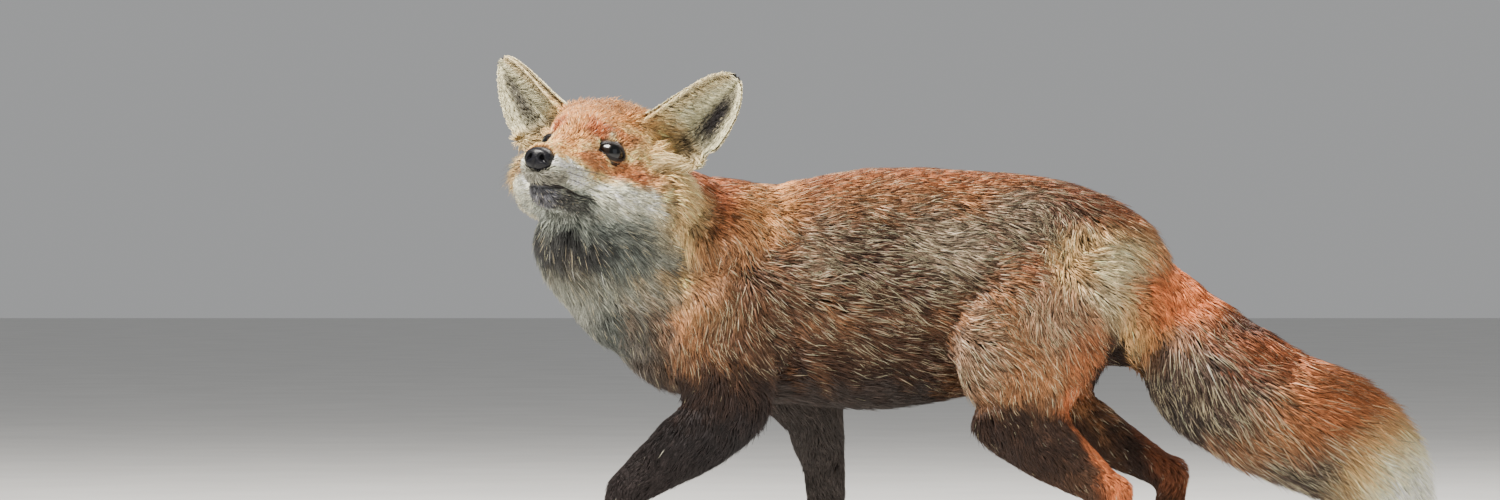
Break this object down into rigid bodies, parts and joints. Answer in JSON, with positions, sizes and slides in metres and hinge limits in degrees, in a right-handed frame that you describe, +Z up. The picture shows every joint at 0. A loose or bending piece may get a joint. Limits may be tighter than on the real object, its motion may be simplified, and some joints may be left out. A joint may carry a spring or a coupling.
{
  "type": "red fox figure",
  "caption": "Life-size young red fox standing in mid step, head turned and raised, ears up, thick tail hanging down behind.",
  "frame": {"origin": "on the floor, under the middle of the whole figure's box", "axes": "the fox heads along -X, its left side is -Y (the head is turned that way), +Z is up"},
  "size_m": [0.7486, 0.2756, 0.4314],
  "materials": {
    "head_fur": "short rust-orange fur, white on the muzzle sides, cheeks and throat",
    "throat_fur": "short greyish-white fur on the lower jaw",
    "body_fur": "long rust-brown and tan fur with pale grizzled tips",
    "stocking_fur": "short blackish-brown fur",
    "ear_fur": "pale buff fur inside with a dark hollow, black backs",
    "tail_tip_fur": "long creamy white fur",
    "nose": "black, moist, finely pebbled skin",
    "eye": "wet, dark amber-brown eye",
    "claw": "dark horn"
  },
  "bodies": {
    "root": {"head": "head_fur", "left_ear": "ear_fur", "left_eye": "eye", "left_fore_claw_1": "claw", "left_fore_claw_2": "claw", "left_fore_claw_3": "claw", "left_fore_claw_4": "claw", "left_fore_foot": "stocking_fur", "left_fore_lower": "stocking_fur", "left_fore_upper": "body_fur", "left_hind_claw_1": "claw", "left_hind_claw_2": "claw", "left_hind_claw_3": "claw", "left_hind_claw_4": "claw", "left_hind_foot": "stocking_fur", "left_hind_lower": "stocking_fur", "left_hind_upper": "body_fur", "lower_jaw": "throat_fur", "neck": "head_fur", "nose": "nose", "right_ear": "ear_fur", "right_eye": "eye", "right_fore_claw_1": "claw", "right_fore_claw_2": "claw", "right_fore_claw_3": "claw", "right_fore_claw_4": "claw", "right_fore_foot": "stocking_fur", "right_fore_lower": "stocking_fur", "right_fore_upper": "body_fur", "right_hind_claw_1": "claw", "right_hind_claw_2": "claw", "right_hind_claw_3": "claw", "right_hind_claw_4": "claw", "right_hind_foot": "stocking_fur", "right_hind_lower": "stocking_fur", "right_hind_upper": "body_fur", "tail_middle": "body_fur", "tail_root": "body_fur", "tail_tip": "tail_tip_fur", "trunk": "body_fur"}
  },
  "joints": []
}
